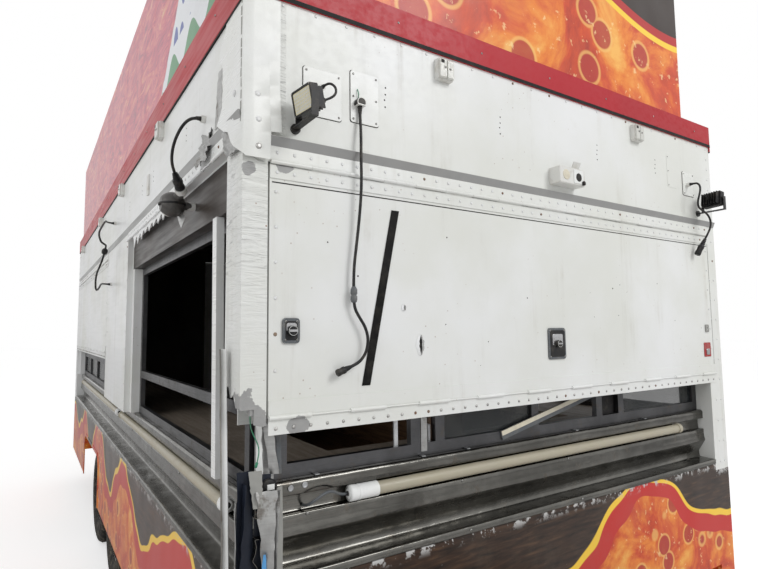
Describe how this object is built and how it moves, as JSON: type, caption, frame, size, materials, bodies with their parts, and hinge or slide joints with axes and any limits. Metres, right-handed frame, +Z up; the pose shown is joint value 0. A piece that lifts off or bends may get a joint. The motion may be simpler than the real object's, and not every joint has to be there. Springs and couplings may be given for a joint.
{
  "type": "food trailer",
  "caption": "Box trailer with serving bays on three sides, lifting awnings, folded steel belts, roof sign boards and tandem wheels; one front corner torn open.",
  "frame": {"origin": "on the ground under the middle of the trailer's box", "axes": "+X forward to the coupler, +Y to the trailer's left, +Z up"},
  "size_m": [6.89, 2.6047, 3.27],
  "materials": {
    "white_panel": "weathered gloss",
    "printed_wrap": "printed film",
    "sign_print": "printed film",
    "red_trim": "gloss",
    "plywood": "matte",
    "black_steel": "satin",
    "zinc_steel": "satin",
    "stainless": "polished",
    "cream_plastic": "gloss",
    "mill_aluminium": "mill",
    "lamp_plastic": "matte",
    "black_plastic": "matte",
    "tyre": "matte",
    "green_wire": "matte",
    "chrome_rim": "polished"
  },
  "bodies": {
    "trailer": {"front_upper_wall": "white_panel", "front_apron": "printed_wrap", "right_wall": "white_panel", "left_wall": "white_panel", "rear_wall": "white_panel", "corner_posts": "white_panel", "torn_corner_post": "white_panel", "roof_deck": "white_panel", "roof_trim": "red_trim", "sign_front": "sign_print", "sign_right": "sign_print", "sign_left": "sign_print", "floor_deck": "plywood", "chassis_frame": "black_steel", "tongue_frame": "black_steel", "coupler": "black_steel", "tongue_jack": "zinc_steel", "rear_bumper": "black_steel", "axles": "black_steel", "leaf_springs": "black_steel", "spring_hangers": "black_steel", "front_belt": "stainless", "right_belt": "stainless", "left_belt": "stainless", "tube_lamps": "cream_plastic", "hinge_leaves": "white_panel", "window_frame_front": "mill_aluminium", "window_frame_right": "mill_aluminium", "window_frame_right_rear": "mill_aluminium", "window_frames_left": "mill_aluminium", "counter_boards": "plywood", "marker_lamps": "lamp_plastic", "outlet_boxes": "lamp_plastic", "flood_lamps": "black_plastic", "bent_corner_angle": "mill_aluminium", "leaning_post": "mill_aluminium", "torn_corner_sheets": "mill_aluminium", "prop_bar": "white_panel", "cord_ends": "black_plastic", "cord_flood_near": "black_plastic", "cord_belt": "lamp_plastic", "wire_green": "green_wire", "cord_side_near": "black_plastic", "cord_side_far": "black_plastic"},
    "wheel_front_right": {"tyre_front_right": "tyre", "rim_front_right": "chrome_rim"},
    "wheel_rear_right": {"tyre_rear_right": "tyre", "rim_rear_right": "chrome_rim"},
    "wheel_front_left": {"tyre_front_left": "tyre", "rim_front_left": "chrome_rim"},
    "wheel_rear_left": {"tyre_rear_left": "tyre", "rim_rear_left": "chrome_rim"},
    "awning_front": {"awning_front": "white_panel", "cord_front": "black_plastic", "cord_far_corner": "black_plastic", "cord_front_ends": "black_plastic"},
    "awning_right_rear": {"awning_right_rear": "white_panel"},
    "awning_left_near": {"awning_left_near": "white_panel"},
    "awning_left_rear": {"awning_left_rear": "white_panel"},
    "door": {"entry_door": "white_panel"}
  },
  "joints": [
    {"name": "spin_front_right", "type": "hinge", "parent": "trailer", "child": "wheel_front_right", "pos_m": [-0.3, -1.085, 0.355], "axis": [0, 1, 0], "continuous": true},
    {"name": "spin_rear_right", "type": "hinge", "parent": "trailer", "child": "wheel_rear_right", "pos_m": [-1.16, -1.085, 0.355], "axis": [0, 1, 0], "continuous": true},
    {"name": "spin_front_left", "type": "hinge", "parent": "trailer", "child": "wheel_front_left", "pos_m": [-0.3, 1.085, 0.355], "axis": [0, 1, 0], "continuous": true},
    {"name": "spin_rear_left", "type": "hinge", "parent": "trailer", "child": "wheel_rear_left", "pos_m": [-1.16, 1.085, 0.355], "axis": [0, 1, 0], "continuous": true},
    {"name": "lift_awning_front", "type": "hinge", "parent": "trailer", "child": "awning_front", "pos_m": [2.151, 0, 1.998], "axis": [0, -1, 0], "range_deg": [0, 95], "deforming": ["cord_front", "cord_far_corner"]},
    {"name": "lift_awning_right_rear", "type": "hinge", "parent": "trailer", "child": "awning_right_rear", "pos_m": [-1.955, -1.226, 2.058], "axis": [-1, 0, 0], "range_deg": [0, 95]},
    {"name": "lift_awning_left_near", "type": "hinge", "parent": "trailer", "child": "awning_left_near", "pos_m": [1.112, 1.226, 2.058], "axis": [1, 0, 0], "range_deg": [0, 95]},
    {"name": "lift_awning_left_rear", "type": "hinge", "parent": "trailer", "child": "awning_left_rear", "pos_m": [-1.955, 1.226, 2.058], "axis": [1, 0, 0], "range_deg": [0, 95]},
    {"name": "swing_door", "type": "hinge", "parent": "trailer", "child": "door", "pos_m": [-3.355, 0.9, 0], "axis": [0, 0, -1], "range_deg": [0, 110]}
  ]
}
